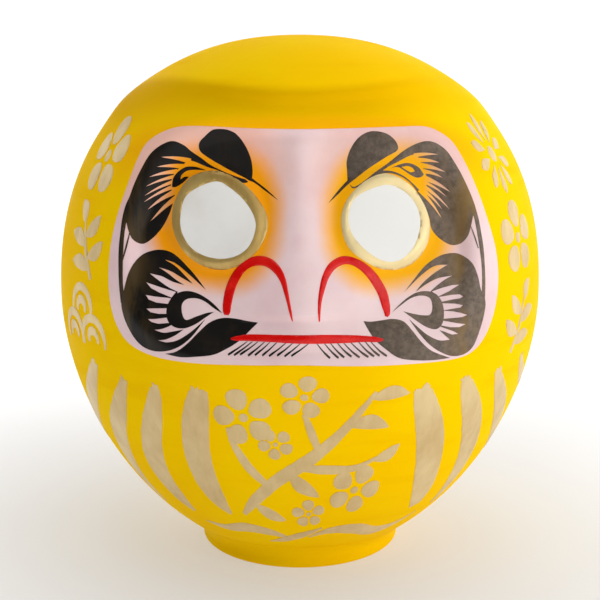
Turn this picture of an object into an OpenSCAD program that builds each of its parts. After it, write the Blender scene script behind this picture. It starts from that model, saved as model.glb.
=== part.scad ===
// Daruma doll: a hollow, self-righting papier-mache figure on a foot ring.
// The origin is the centre of the foot ring's underside. The face looks
// along -Y and +Z is up. Lengths are in millimetres, angles in degrees.

/* [Body] */
// Width of the body across its widest level
body_w = 300; // [250:1:320]
// Depth of the body, front to back
body_d = 290; // [250:1:310]
// Height of the widest level above the table
waist_h = 166; // [155:1:175]
// Rise of the crown above the widest level
crown_rise = 157; // [145:1:165]
// Depth below the widest level at which the round belly would close
belly_drop = 176.5; // [170:0.5:185]
// Thickness of the papier-mache wall
wall = 3.5; // [3:0.25:4.5]

/* [Hood] */
// Height of the hood's brow ridge at the centre
ridge_h = 292; // [287:1:296]
// How far the brow ridge stands out in front
ridge_out = 7.5; // [2:0.5:9]
// How much higher the brow ridge is over the eyes
ridge_wave = 5; // [0:0.5:8]
// How far the ridge's shoulders stand out at the sides
shoulder_out = 1.8; // [0.5:0.1:3]

/* [Face] */
// Half width of the sunken face
face_half_w = 98; // [92:1:102]
// How far the sunken face reaches below its middle
face_drop = 61; // [56:1:64]
// How far the sunken face reaches above its middle, under the hood
face_rise = 75; // [68:1:80]
// Height of the middle of the face
face_h = 210.5; // [206:0.5:214]
// Distance of the face's middle in front of the centre line
face_y = 120; // [116:1:124]
// Radius of each raised eyeball
eye_r = 26; // [22:1:28]
// Distance of each eye from the centre line
eye_x = 46; // [42:1:50]
// Height of the eyes
eye_h = 224; // [218:1:228]
// How far each eyeball stands out of its socket
eye_out = 4.8; // [3:0.2:7]
// How far the tip of the nose stands out
nose_out = 9; // [5:0.5:14]

/* [Foot] */
// Outer radius of the foot ring
foot_r = 64; // [58:0.5:66]
// Height of the foot ring
foot_h = 11; // [9:0.5:14]
// Radius of the opening inside the foot ring
foot_bore_r = 48; // [40:1:52]

/* [Base] */
// Thickness of the board that closes the bottom
board_t = 3; // [2:0.5:4]
// Radius of the clay weight
weight_r = 40; // [30:1:42]
// Height of the clay weight
weight_h = 16; // [10:1:20]
// Radius of the hole that takes the dipping rod
rod_r = 6; // [4:0.5:8]
// Thickness of the paper pasted under the bottom
paper_t = 0.8; // [0.6:0.1:1.2]

/* [Seam] */
// Width of the paper strips pasted inside along the seam
strip_w = 24; // [16:1:30]
// Thickness of the strips
strip_t = 0.8; // [0.6:0.1:1.2]

/* [Hidden] */

half_w = body_w / 2;
half_d = body_d / 2;
crown_z = waist_h + crown_rise;

// Exponents of the body's curves: 2 is an ellipse, more is fuller
plan_n = 2.1;
side_top_n = 2.24;
front_top_n = 2.8;
back_top_n = 2.4;
belly_n = 1.835;

// The hood's ridge and shoulders
ridge_reach = 13;         // how far the ridge's swelling spreads above its crest
ridge_undercut = 5.5;     // and below it
ridge_span = 100;         // distance from the centre at which the ridge is back at ridge_h
shoulder_z = ridge_h - 6;
shoulder_reach = 12;

// The face
face_mid = 214;           // height at which the face is face_y in front
face_lean = 0.25;         // how much the face leans back for each unit of height
brow_z = 238;             // above this it stands more upright
brow_bend = 10;           // height over which it turns upright
brow_upright = 0.6;       // share of the lean that it loses there
cheek_round = 13;         // how much the face falls back at cheek_x from the centre
cheek_x = 90;
chin_out = 4;             // how far the chin comes forward below the mouth
face_taper = 0.07;        // how much narrower the face gets for each unit of height
cove_start = 0.87;        // the cove starts at this share of the face's reach
cove_widening = 0.13;     // and this much sooner under the hood
cove_end = 1.02;
eye_rim = 3.2;            // step from the socket up to the eyeball's edge
eye_edge = 4;             // half the width of that step
socket_r = 38;
socket_depth = 4;
socket_shift = 8;         // the socket's middle is this much further out than the eye's

// The nose
bridge_out = 3;           // how far the nose stands out between the eyes
bridge_w = 9;             // half width of the bridge
bridge_widening = 12;     // how much wider the nose is at its tip
bridge_top = 272;
nose_tip_z = 190;
nostril_out = 3.5;
nostril_x = 26;
nostril_w = 15;
nostril_h = 20;
lip_z = [150, 172];       // the nose fades out over this height
mouth_z = 163;
lip_out = 1.6;
lip_h = 5;
lip_w = 48;

// The foot and the base
foot_edge_r = 2;
board_r = 55;
bed_w = 9;
bed_h = 8;
glue = 0.3;               // gap filled by paste between two papers
strip_lift = 8;           // the side strips start this far above the foot ring
strip_gap = 5;            // the strip at the crown ends this far short of the side
strip_rows = 30;
crown_rows = 24;

probe = 2;                // step used to find which way the wall faces
halvings = 24;            // turns of the search for the crown's height

// Rows of the shells, from the foot ring to just under the crown
rows = concat(
    [for (z = [foot_h : 10 : 141]) z],
    [for (z = [146 : 4.5 : 277]) z],
    [for (lift = [42, 39, 36, 33, 30, 27, 23, 18, 13, 8.5, 5, 2.5, 1, 0.25]) crown_z - lift]);

// Columns of the shells, as angles round from the left seam to the right
side_steps = [0, 3, 7, 13, 20, 27, 34, 40];
front_cols = concat(side_steps, [for (a = [44 : 3 : 136]) a],
    [for (i = [len(side_steps) - 1 : -1 : 0]) 180 - side_steps[i]]);
back_steps = [0, 3, 6, 10, 15];
back_cols = concat(back_steps, [for (a = [22.5 : 7.5 : 160]) a],
    [for (i = [len(back_steps) - 1 : -1 : 0]) 180 - back_steps[i]]);

function smooth(a, b, x) =
    let (t = min(1, max(0, (x - a) / (b - a)))) t * t * (3 - 2 * t);
function bell(t) = exp(-t * t);
function spow(v, p) = sign(v) * pow(abs(v), p);

// How full the body is at height z, from 0 at a pole to 1 at the waist
function fullness(z, top_n) =
    let (up = z >= waist_h,
        t = min(1, abs(z - waist_h) / (up ? crown_rise : belly_drop)),
        n = up ? top_n : belly_n)
    pow(max(0, 1 - pow(t, n)), 1 / n);

function side(z) = half_w * fullness(z, side_top_n)
    + shoulder_out * bell((z - shoulder_z) / shoulder_reach);

// How far round from the seam the point is, 0 at the seam and 1 in front
function facing(x, z) =
    pow(max(0, 1 - pow(min(1, abs(x) / side(z)), plan_n)), 1 / plan_n);

// The hood's brow ridge rises over the eyes and sinks towards the sides
function ridge(x, z) =
    let (t = pow(x / ridge_span, 2), dz = z - ridge_h - 4 * ridge_wave * t * (1 - t))
    ridge_out * bell(dz / (dz > 0 ? ridge_reach : ridge_undercut)) * facing(x, z);

function body_front(x, z) =
    half_d * fullness(z, front_top_n) * facing(x, z) + ridge(x, z);

// Rise of one eyeball above its socket
function eye(x, z) =
    let (r = norm([abs(x) - eye_x, z - eye_h]))
    eye_rim * (1 - smooth(eye_r - eye_edge, eye_r + eye_edge, r))
    + (eye_out - eye_rim) * (1 - min(1, pow(r / eye_r, 2)));

// The nose widens downwards and fades into the lip
function nose(x, z) =
    let (down = smooth(bridge_top, nose_tip_z, z),
        bridge = (bridge_out + (nose_out - bridge_out) * down)
            * bell(x / (bridge_w + bridge_widening * down)),
        nostrils = nostril_out * bell((abs(x) - nostril_x) / nostril_w)
            * bell((z - nose_tip_z - 1) / nostril_h))
    (bridge * smooth(bridge_top + 4, bridge_top - 10, z) + nostrils)
    * (smooth(lip_z[0], lip_z[1], z) + smooth(lip_z[1] - 1, lip_z[1] + 5, z)) / 2;

// The face leans back up to the brow and stands more upright above it
function lean(z) =
    face_lean * (face_mid - z)
    + brow_upright * face_lean * brow_bend * ln(1 + exp((z - brow_z) / brow_bend));

function face(x, z) =
    face_y + lean(z) + chin_out * smooth(185, 150, z) - cheek_round * pow(x / cheek_x, 2)
    - socket_depth * bell(norm([abs(x) - eye_x - socket_shift, z - eye_h]) / socket_r)
    + eye(x, z) + nose(x, z)
    + lip_out * bell((z - mouth_z) / lip_h) * bell(x / lip_w);

// 1 on the face, 0 on the robe, with a cove between them that is wide under the hood
function on_face(x, z) =
    let (w = face_half_w - face_taper * (z - face_h),
        h = z > face_h ? face_rise : face_drop,
        q = pow(pow(x / w, 4) + pow((z - face_h) / h, 4), 1 / 4))
    1 - smooth(cove_start - cove_widening * smooth(0, 40, z - face_h), cove_end, q);

function front(x, z) =
    let (k = on_face(x, z))
    k > 0 ? body_front(x, z) * (1 - k) + face(x, z) * k : body_front(x, z);

// Outside of the wall. turn runs from the left seam to the right one
function front_at(turn, z) =
    let (x = -side(z) * spow(cos(turn), 2 / plan_n))
    [x, turn <= 0 || turn >= 180 ? 0 : -front(x, z), z];
function back_at(turn, z) =
    [-side(z) * spow(cos(turn), 2 / plan_n),
     half_d * fullness(z, back_top_n) * pow(sin(turn), 2 / plan_n), z];
function outside(turn, z, is_front) =
    is_front ? front_at(turn, z) : back_at(turn, z);

// Which way the wall faces at a point, level at the waist
function facing_out(turn, z, is_front) =
    let (a0 = max(0, turn - probe), a1 = min(180, turn + probe),
        z0 = max(foot_h - 4, z - probe), z1 = min(crown_z - 0.05, z + probe),
        round_way = outside(a1, z, is_front) - outside(a0, z, is_front),
        up_way = outside(turn, z1, is_front) - outside(turn, z0, is_front),
        n = cross(round_way, up_way) * (is_front ? 1 : -1),
        flat = (turn <= 0 || turn >= 180) ? [n[0], 0, n[2]] : n)
    flat / norm(flat);

// Point a depth below the outside. The lowest row stays level
function inside(turn, z, depth, is_front) =
    let (p = outside(turn, z, is_front), n = facing_out(turn, z, is_front),
        level = [n[0], n[1], 0])
    z <= foot_h ? p - level / norm(level) * depth / norm(level)
        : p - n * depth;

// Closed wall between two grids of the same size. Each grid is a list of
// rows, and the first one is on the side that the faces look out from
module slab(outer, inner) {
    nr = len(outer);
    nc = len(outer[0]);
    half = nr * nc;
    function at(layer, i, j) = layer * half + i * nc + j;
    function quad(a, b, c, d) = [[a, b, c], [a, c, d]];
    faces = concat(
        [for (i = [0 : nr - 2], j = [0 : nc - 2])
            each quad(at(0, i, j), at(0, i + 1, j), at(0, i + 1, j + 1), at(0, i, j + 1))],
        [for (i = [0 : nr - 2], j = [0 : nc - 2])
            each quad(at(1, i, j), at(1, i, j + 1), at(1, i + 1, j + 1), at(1, i + 1, j))],
        [for (j = [0 : nc - 2], i = [0, nr - 1])
            each i == 0
                ? quad(at(0, i, j), at(0, i, j + 1), at(1, i, j + 1), at(1, i, j))
                : quad(at(0, i, j), at(1, i, j), at(1, i, j + 1), at(0, i, j + 1))],
        [for (i = [0 : nr - 2], j = [0, nc - 1])
            each j == 0
                ? quad(at(0, i, j), at(1, i, j), at(1, i + 1, j), at(0, i + 1, j))
                : quad(at(0, i, j), at(0, i + 1, j), at(1, i + 1, j), at(1, i, j))]);
    polyhedron([for (grid = [outer, inner], row = grid, p = row) p], faces);
}

// Half of the hollow body, closed over the top by the two crown points
module shell(cols, is_front) {
    nr = len(rows);
    nc = len(cols);
    half = nr * nc + 1;
    crown = nr * nc;
    function at(layer, i, j) = layer * half + i * nc + j;
    function quad(a, b, c, d) = [[a, b, c], [a, c, d]];
    function turned(f) = is_front ? f : [f[2], f[1], f[0]];
    points = concat(
        [for (z = rows, a = cols) outside(a, z, is_front)], [[0, 0, crown_z]],
        [for (z = rows, a = cols) inside(a, z, wall, is_front)], [[0, 0, crown_z - wall]]);
    faces = concat(
        [for (i = [0 : nr - 2], j = [0 : nc - 2])
            each quad(at(0, i, j), at(0, i + 1, j), at(0, i + 1, j + 1), at(0, i, j + 1))],
        [for (i = [0 : nr - 2], j = [0 : nc - 2])
            each quad(at(1, i, j), at(1, i, j + 1), at(1, i + 1, j + 1), at(1, i + 1, j))],
        [for (j = [0 : nc - 2]) [at(0, nr - 1, j), crown, at(0, nr - 1, j + 1)]],
        [for (j = [0 : nc - 2]) [at(1, nr - 1, j), at(1, nr - 1, j + 1), half + crown]],
        [for (j = [0 : nc - 2])
            each quad(at(0, 0, j), at(0, 0, j + 1), at(1, 0, j + 1), at(1, 0, j))],
        [for (i = [0 : nr - 2])
            each quad(at(0, i, 0), at(1, i, 0), at(1, i + 1, 0), at(0, i + 1, 0))],
        [for (i = [0 : nr - 2])
            each quad(at(0, i, nc - 1), at(0, i + 1, nc - 1), at(1, i + 1, nc - 1), at(1, i, nc - 1))],
        quad(at(0, nr - 1, 0), at(1, nr - 1, 0), half + crown, crown),
        quad(at(0, nr - 1, nc - 1), crown, half + crown, at(1, nr - 1, nc - 1)));
    polyhedron(points, [for (f = faces) turned(f)]);
}

// Point on the outside by its distance from the seam. s is -1 on the left
// side and 1 on the right one
function by_seam(s, y, z) =
    let (b = half_d * fullness(z, y < 0 ? front_top_n : back_top_n))
    [s * side(z) * pow(1 - pow(abs(y) / b, plan_n), 1 / plan_n), y, z];

// Height of the outside over a point near the crown, found by halving
function over(x, y, low, high, turns) =
    let (z = (low + high) / 2,
        b = half_d * fullness(z, y < 0 ? front_top_n : back_top_n),
        in = abs(x) < side(z) && pow(abs(x) / side(z), plan_n) + pow(abs(y) / b, plan_n) < 1)
    turns == 0 ? z : over(x, y, in ? z : low, in ? high : z, turns - 1);
function by_crown(x, y) = [x, y, over(x, y, waist_h, crown_z, halvings)];

// A point pushed in from the outside by a depth
function pushed(p, du, dv, depth) =
    let (n = cross(du, dv)) p - n * depth / norm(n);
function seam_in(s, y, z, depth) = pushed(by_seam(s, y, z),
    s * (by_seam(s, y + probe, z) - by_seam(s, y - probe, z)),
    by_seam(s, y, z + probe) - by_seam(s, y, z - probe), depth);
function crown_in(x, y, depth) = pushed(by_crown(x, y),
    by_crown(x + probe, y) - by_crown(x - probe, y),
    by_crown(x, y + probe) - by_crown(x, y - probe), depth);

strip_ys = [for (i = [-2 : 2]) strip_w / 4 * i];
strip_end_z = ridge_h - 1;
strip_start_z = foot_h + strip_lift;
crown_strip_x = side(ridge_h + 6) - strip_gap;
module side_strip(s) {
    zs = [for (i = [0 : strip_rows])
        strip_start_z + (strip_end_z - strip_start_z) * i / strip_rows];
    grids = [for (d = [0, strip_t])
        [for (z = zs) [for (y = strip_ys) seam_in(s, s * y, z, wall + glue + d)]]];
    slab(grids[0], grids[1]);
}
module crown_strip() {
    xs = [for (i = [0 : crown_rows]) crown_strip_x * (2 * i / crown_rows - 1)];
    grids = [for (d = [0, strip_t])
        [for (y = strip_ys) [for (x = xs) crown_in(x, y, wall + glue + d)]]];
    slab(grids[0], grids[1]);
}

module seam_strip_left() color([0.86, 0.82, 0.72]) side_strip(-1);
module seam_strip_right() color([0.86, 0.82, 0.72]) side_strip(1);
module seam_strip_crown() color([0.86, 0.82, 0.72]) crown_strip();

// Pressed-paper ring that the figure stands on, with rounded lower edges
module foot_ring() color([0.90, 0.72, 0.02])
    rotate_extrude($fn = 180) {
        translate([foot_bore_r, foot_edge_r])
            square([foot_r - foot_bore_r, foot_h - foot_edge_r]);
        translate([foot_bore_r + foot_edge_r, 0])
            square([foot_r - foot_bore_r - 2 * foot_edge_r, foot_edge_r + 0.1]);
        for (r = [foot_bore_r + foot_edge_r, foot_r - foot_edge_r])
            translate([r, foot_edge_r]) circle(foot_edge_r, $fn = 48);
    }

// A flat disc with the rod's hole, standing on height z
module drilled_disc(r, h, z)
    translate([0, 0, z]) difference() {
        cylinder(r = r, h = h, $fn = 160);
        translate([0, 0, -1]) cylinder(r = rod_r, h = h + 2, $fn = 64);
    }

module base_board() color([0.62, 0.50, 0.34]) drilled_disc(board_r, board_t, foot_h);
module base_weight() color([0.66, 0.42, 0.30]) drilled_disc(weight_r, weight_h, foot_h + board_t);
module bottom_paper() color([0.88, 0.85, 0.76])
    drilled_disc(foot_bore_r - glue, paper_t, foot_h - paper_t);

// Fillet of paper pulp and paste that holds the weight on the board
module weight_bed() color([0.80, 0.76, 0.66])
    translate([0, 0, foot_h + board_t]) rotate_extrude($fn = 160)
        polygon([[weight_r, 0], [weight_r + bed_w, 0], [weight_r + bed_w / 3, bed_h / 3],
            [weight_r, bed_h]]);

module front_shell() color([0.93, 0.76, 0.02]) shell(front_cols, true);
module back_shell() color([0.93, 0.76, 0.02]) shell(back_cols, false);

front_shell();
back_shell();
seam_strip_left();
seam_strip_right();
seam_strip_crown();
foot_ring();
base_board();
base_weight();
weight_bed();
bottom_paper();
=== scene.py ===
"""Daruma doll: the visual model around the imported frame.

Shapes are in millimetres, as in the CAD, and turned into metres when a mesh is made. Materials,
lamps, camera and floor are in metres. The face looks along -Y. Paint is a thin closed skin that
follows the papier-mache wall. A place on the face is given as (x, z). A place on the robe is given
as (u, z), where u is the distance round the body from the middle of the front, measured at the
waist."""
import math
import random
import bpy
import numpy as np
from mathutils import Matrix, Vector
from mathutils.geometry import delaunay_2d_cdt


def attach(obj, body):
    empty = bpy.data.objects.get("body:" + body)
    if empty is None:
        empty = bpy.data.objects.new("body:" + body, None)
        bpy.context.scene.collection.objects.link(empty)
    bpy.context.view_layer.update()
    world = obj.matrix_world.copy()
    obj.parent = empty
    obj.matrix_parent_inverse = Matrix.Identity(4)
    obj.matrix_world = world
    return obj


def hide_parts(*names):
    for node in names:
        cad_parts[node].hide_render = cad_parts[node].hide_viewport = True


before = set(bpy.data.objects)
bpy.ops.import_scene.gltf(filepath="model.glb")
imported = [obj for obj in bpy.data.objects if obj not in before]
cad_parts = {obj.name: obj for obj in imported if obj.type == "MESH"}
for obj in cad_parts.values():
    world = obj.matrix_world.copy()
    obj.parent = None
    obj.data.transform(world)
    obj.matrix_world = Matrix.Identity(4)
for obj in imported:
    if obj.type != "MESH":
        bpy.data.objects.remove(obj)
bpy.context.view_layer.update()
MM = 0.001

# ---- the body's shape
HALF_W = 150.0
HALF_D = 145.0
WAIST = 166.0
CROWN_RISE = 157.0
BELLY_DROP = 176.5
WALL = 3.5
FOOT_H = 11.0
FOOT_R = 64.0
FOOT_BORE_R = 48.0
FOOT_EDGE = 2.0
PLAN_N, SIDE_N, FRONT_N, BACK_N, BELLY_N = 2.1, 2.24, 2.8, 2.4, 1.835
CROWN = WAIST + CROWN_RISE
# The hood's brow ridge and its shoulders
RIDGE_H, RIDGE_OUT, RIDGE_WAVE, RIDGE_SPAN = 292.0, 7.5, 5.0, 100
RIDGE_REACH, RIDGE_UNDERCUT = 13, 5.5
SHOULDER_OUT, SHOULDER_Z, SHOULDER_REACH = 1.8, RIDGE_H - 6, 12
# The sunken face: its outline, cove, lean, cheeks and chin
FACE_HALF_W, FACE_DROP, FACE_RISE, FACE_H, FACE_Y = 98.0, 61.0, 75.0, 210.5, 120.0
FACE_TAPER, COVE_START, COVE_WIDENING, COVE_RISE, COVE_END = 0.07, 0.87, 0.13, 40, 1.02
FACE_MID, FACE_LEAN, BROW_H, BROW_BEND, BROW_UPRIGHT = 214, 0.25, 238.0, 10.0, 0.6
CHEEK_ROUND, CHEEK_X, CHIN_OUT, CHIN_Z = 13, 90, 4, (185, 150)
# Eyes, nose and lip
EYE_R, EYE_X, EYE_H, EYE_RIM, EYE_EDGE, EYE_CROWN = 26.0, 46.0, 224.0, 3.2, 4, 1.6
SOCKET_R, SOCKET_DEPTH, SOCKET_SHIFT = 38, 4, 8
NOSE_OUT, NOSE_TIP_Z, BRIDGE_OUT, BRIDGE_W, BRIDGE_WIDENING, BRIDGE_TOP = 9.0, 190, 3, 9, 12, 272
NOSTRIL_OUT, NOSTRIL_X, NOSTRIL_W, NOSTRIL_H = 3.5, 26, 15, 20
LIP_Z, LIP_OUT, LIP_H, LIP_W, MOUTH_Z = (150, 172), 1.6, 5, 48, 163
# Unevenness of pasted paper: depth and width of its broad and fine ripples, and the face's share
BROAD_DENTS, FINE_DENTS, RIPPLES, FACE_DENTS = (0.75, 55), (0.22, 17), 7, 0.35
FRONT_SEED, FACE_SEED, BACK_SEED = 3, 5, 9


def smooth(a, b, x):
    t = np.clip((x - a) / (b - a), 0, 1)
    return t * t * (3 - 2 * t)


def bell(t):
    return np.exp(-t * t)


def fullness(z, top_n):
    """How full the body is at height z, from 0 at a pole to 1 at the waist."""
    up = z >= WAIST
    t = np.clip(np.abs(z - WAIST) / np.where(up, CROWN_RISE, BELLY_DROP), 0, 1)
    n = np.where(up, top_n, BELLY_N)
    return np.clip(1 - t ** n, 0, None) ** (1 / n)


def side(z):
    return HALF_W * fullness(z, SIDE_N) + SHOULDER_OUT * bell((z - SHOULDER_Z) / SHOULDER_REACH)


def facing(x, z):
    """0 at the side seam and 1 in the middle of the front."""
    t = np.clip(np.abs(x) / np.maximum(side(z), 1e-6), 0, 1)
    return np.clip(1 - t ** PLAN_N, 0, None) ** (1 / PLAN_N)


def waves(x, z, seed, size):
    """Gentle unevenness of pasted paper: a few crossed ripples about size wide."""
    rng = random.Random(seed)
    total = 0
    for _ in range(RIPPLES):
        a = rng.uniform(0, math.tau)
        k = math.tau / (size * rng.uniform(0.7, 1.6))
        total = total + np.sin(k * (x * math.cos(a) + z * math.sin(a)) + rng.uniform(0, math.tau))
    return total / RIPPLES


def dents(x, z, seed):
    (broad, broad_size), (fine, fine_size) = BROAD_DENTS, FINE_DENTS
    return broad * waves(x, z, seed, broad_size) + fine * waves(x, z, seed + 1, fine_size)


def body_front(x, z):
    """How far the robe and hood stand out in front, with the ridge that rises over the eyes."""
    t = (x / RIDGE_SPAN) ** 2
    dz = z - RIDGE_H - 4 * RIDGE_WAVE * t * (1 - t)
    ridge = RIDGE_OUT * bell(dz / np.where(dz > 0, RIDGE_REACH, RIDGE_UNDERCUT))
    turned = facing(x, z)
    return HALF_D * fullness(z, FRONT_N) * turned + (ridge + dents(x, z, FRONT_SEED)) * turned


def eye(x, z):
    """Rise of one eyeball above its socket."""
    r = np.hypot(np.abs(x) - EYE_X, z - EYE_H)
    rim = EYE_RIM * (1 - smooth(EYE_R - EYE_EDGE, EYE_R + EYE_EDGE, r))
    return rim + EYE_CROWN * (1 - np.clip(r / EYE_R, 0, 1) ** 2)


def nose(x, z):
    """The nose widens downwards and ends in two nostrils."""
    down = smooth(BRIDGE_TOP, NOSE_TIP_Z, z)
    bridge = (BRIDGE_OUT + (NOSE_OUT - BRIDGE_OUT) * down) * bell(x / (BRIDGE_W + BRIDGE_WIDENING * down))
    nostrils = NOSTRIL_OUT * bell((np.abs(x) - NOSTRIL_X) / NOSTRIL_W)
    return (bridge * smooth(BRIDGE_TOP + 4, BRIDGE_TOP - 10, z)
            + nostrils * bell((z - NOSE_TIP_Z - 1) / NOSTRIL_H))


def face(x, z):
    """How far the sunken face stands in front of the centre line."""
    upright = BROW_UPRIGHT * FACE_LEAN * BROW_BEND * np.log1p(np.exp((z - BROW_H) / BROW_BEND))
    lean = FACE_LEAN * (FACE_MID - z) + upright
    y = FACE_Y + lean + CHIN_OUT * smooth(*CHIN_Z, z) - CHEEK_ROUND * (x / CHEEK_X) ** 2
    y = y - SOCKET_DEPTH * bell(np.hypot(np.abs(x) - EYE_X - SOCKET_SHIFT, z - EYE_H) / SOCKET_R)
    top = LIP_Z[1]
    y = y + eye(x, z) + nose(x, z) * (smooth(*LIP_Z, z) + smooth(top - 1, top + 5, z)) / 2
    lip = LIP_OUT * bell((z - MOUTH_Z) / LIP_H) * bell(x / LIP_W)
    return y + lip + FACE_DENTS * dents(x, z, FACE_SEED)


def on_face(x, z):
    """1 on the sunken face, 0 on the robe, with a cove between that is wide under the hood."""
    w = FACE_HALF_W - FACE_TAPER * (z - FACE_H)
    h = np.where(z > FACE_H, FACE_RISE, FACE_DROP)
    q = ((x / w) ** 4 + ((z - FACE_H) / h) ** 4) ** 0.25
    return 1 - smooth(COVE_START - COVE_WIDENING * smooth(0, COVE_RISE, z - FACE_H), COVE_END, q)


def front(x, z):
    k = on_face(x, z)
    return body_front(x, z) * (1 - k) + face(x, z) * k


def at_face(x, z):
    """Point on the wall by its place on the face."""
    return np.stack([x, -front(x, z), z], -1)


def at_turn(turn, z, is_front=True):
    """Point on the wall by its angle round from the left seam, in degrees."""
    c, s = np.cos(np.radians(turn)), np.abs(np.sin(np.radians(turn)))
    x = -side(z) * np.sign(c) * np.abs(c) ** (2 / PLAN_N)
    x = np.where(s < 1e-9, -side(z) * np.sign(c), x)
    if is_front:
        y = -front(x, z) * (s > 1e-9)
    else:
        y = HALF_D * fullness(z, BACK_N) * s ** (2 / PLAN_N)
        y = y + dents(x, z, BACK_SEED) * facing(x, z)
    return np.stack([x, y, z + 0 * x], -1)


def at_robe(u, z):
    """Point on the wall by its distance round the robe."""
    return at_turn(90 + np.degrees(u / HALF_W), z)


def unit(v):
    return v / np.maximum(np.linalg.norm(v, axis=-1, keepdims=True), 1e-9)


def normals(place, a, b, step=0.4):
    """Which way the wall faces at places (a, b), outward."""
    da = place(a + step, b) - place(a - step, b)
    db = place(a, b + step) - place(a, b - step)
    return unit(np.cross(da, db))


# ---- mesh helpers
def show(name, data):
    """A new object in the scene."""
    thing = bpy.data.objects.new(name, data)
    bpy.context.scene.collection.objects.link(thing)
    return thing


def add_piece(name, verts, faces, material, crease=50):
    """Makes a closed mesh from points in millimetres and lets it ride on the doll."""
    mesh = bpy.data.meshes.new(name)
    mesh.from_pydata((np.asarray(verts) * MM).tolist(), [], [list(map(int, f)) for f in faces])
    mesh.validate()
    mesh.polygons.foreach_set("use_smooth", [True] * len(mesh.polygons))
    mesh.set_sharp_from_angle(angle=math.radians(crease))
    mesh.materials.append(material)
    piece = show(name, mesh)
    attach(piece, "root")
    return piece


def grid_faces(rows, cols, start=0, flip=False):
    i, j = np.meshgrid(np.arange(rows - 1), np.arange(cols - 1), indexing="ij")
    a = (start + i * cols + j).ravel()
    quads = np.stack([a, a + 1, a + cols + 1, a + cols], -1)
    return quads[:, ::-1] if flip else quads


def rim_faces(loop_a, loop_b):
    """Quads between two closed loops of points of the same length."""
    n = len(loop_a)
    return [[loop_a[k], loop_b[k], loop_b[(k + 1) % n], loop_a[(k + 1) % n]] for k in range(n)]


def curve(points, closed=False, per=8):
    """Catmull-Rom curve through control points, each with the same number of values."""
    p = np.asarray(points, float)
    n = len(p)
    if closed:
        idx = [(np.arange(n) + k) % n for k in (-1, 0, 1, 2)]
    else:
        base = np.arange(n - 1)
        idx = [np.clip(base + k, 0, n - 1) for k in (-1, 0, 1, 2)]
    p0, p1, p2, p3 = (p[i][:, None, :] for i in idx)
    t = (np.arange(per) / per)[None, :, None]
    c = 0.5 * (2 * p1 + (p2 - p0) * t + (2 * p0 - 5 * p1 + 4 * p2 - p3) * t ** 2
               + (3 * p1 - p0 - 3 * p2 + p3) * t ** 3)
    c = c.reshape(-1, p.shape[1])
    return c if closed else np.vstack([c, p[-1]])


def outline(*stretches, per=8):
    """Closed outline from smooth stretches that meet at corners. Each stretch goes on from the last
    point of the one before it, and the last one goes back to the first point of all."""
    starts = [[]] + [[stretch[-1]] for stretch in stretches[:-1]]
    ends = [[] for _ in stretches[:-1]] + [[stretches[0][0]]]
    return np.vstack([curve(a + b + c, per=per)[:-1] for a, b, c in zip(starts, stretches, ends)])


def resample(loop, step):
    """The same outline with no edge longer than step."""
    out = []
    for a, b in zip(loop, np.roll(loop, -1, 0)):
        n = max(1, int(math.ceil(np.linalg.norm(b - a) / step)))
        out.extend(a + (b - a) * k / n for k in range(n))
    return np.array(out)


def inside(points, loop):
    """True for points from which an odd number of the loop's edges lie towards +X."""
    x, z = points[:, 0][:, None], points[:, 1][:, None]
    a, b = loop, np.roll(loop, -1, 0)
    crosses = (a[:, 1] > z) != (b[:, 1] > z)
    rise = np.where(b[:, 1] == a[:, 1], 1e-9, b[:, 1] - a[:, 1])
    at = a[:, 0] + (z - a[:, 1]) * (b[:, 0] - a[:, 0]) / rise
    return np.sum(crosses & (x < at), 1) % 2 == 1


def area(points, loops, cuts):
    """True for points that are in an odd number of loops and in no cut."""
    odd = np.zeros(len(points), bool)
    for loop in loops:
        odd ^= inside(points, loop)
    for cut in cuts:
        odd &= ~inside(points, cut)
    return odd


ROW_STEP = 0.87     # from row to row in the grid, as a share of the step along a row
CLEAR_OF_EDGE = 0.55


def inner_points(loops, cuts, edge, step):
    """Points on an even grid inside the loops and outside the cuts, away from every edge."""
    lo, hi = edge.min(0), edge.max(0)
    xs, zs = np.arange(lo[0], hi[0], step), np.arange(lo[1], hi[1], step * ROW_STEP)
    gx, gz = np.meshgrid(xs, zs)
    gx = gx + (np.arange(len(zs)) % 2)[:, None] * step / 2
    grid = np.stack([gx.ravel(), gz.ravel()], -1)
    grid = grid[area(grid, loops, cuts)]
    near = np.full(len(grid), np.inf)
    for part in np.array_split(edge, max(1, len(edge) // 400)):
        near = np.minimum(near, np.linalg.norm(grid[:, None] - part[None], axis=-1).min(1))
    return grid[near > CLEAR_OF_EDGE * step]


def one_way(flat, tris):
    """The triangles without slivers, all turned the same way."""
    a, b, c = (flat[tris[:, k]] for k in range(3))
    turn = (b[:, 0] - a[:, 0]) * (c[:, 1] - a[:, 1]) - (b[:, 1] - a[:, 1]) * (c[:, 0] - a[:, 0])
    tris, turn = tris[np.abs(turn) > 1e-7], turn[np.abs(turn) > 1e-7]
    tris[turn < 0] = tris[turn < 0][:, ::-1]
    return tris


def flat_mesh(loops, cuts, step):
    """Triangles that fill the loops less the cuts."""
    loops = [resample(np.asarray(l, float), step) for l in loops]
    cuts = [resample(np.asarray(c, float), step) for c in cuts]
    edge = np.vstack(loops + cuts)
    edges, start = [], 0
    for loop in loops + cuts:
        n = len(loop)
        edges += [(start + k, start + (k + 1) % n) for k in range(n)]
        start += n
    points = np.vstack([edge, inner_points(loops, cuts, edge, step)])
    out = delaunay_2d_cdt([Vector(p) for p in points], edges, [], 0, 1e-5)
    flat = np.array([list(v) for v in out[0]])
    tris = np.array([list(f) for f in out[2]])
    tris = one_way(flat, tris[area(flat[tris].mean(1), loops, cuts)])
    used = np.unique(tris)
    renumber = np.full(len(flat), -1)
    renumber[used] = np.arange(len(used))
    return flat[used], renumber[tris]


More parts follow.
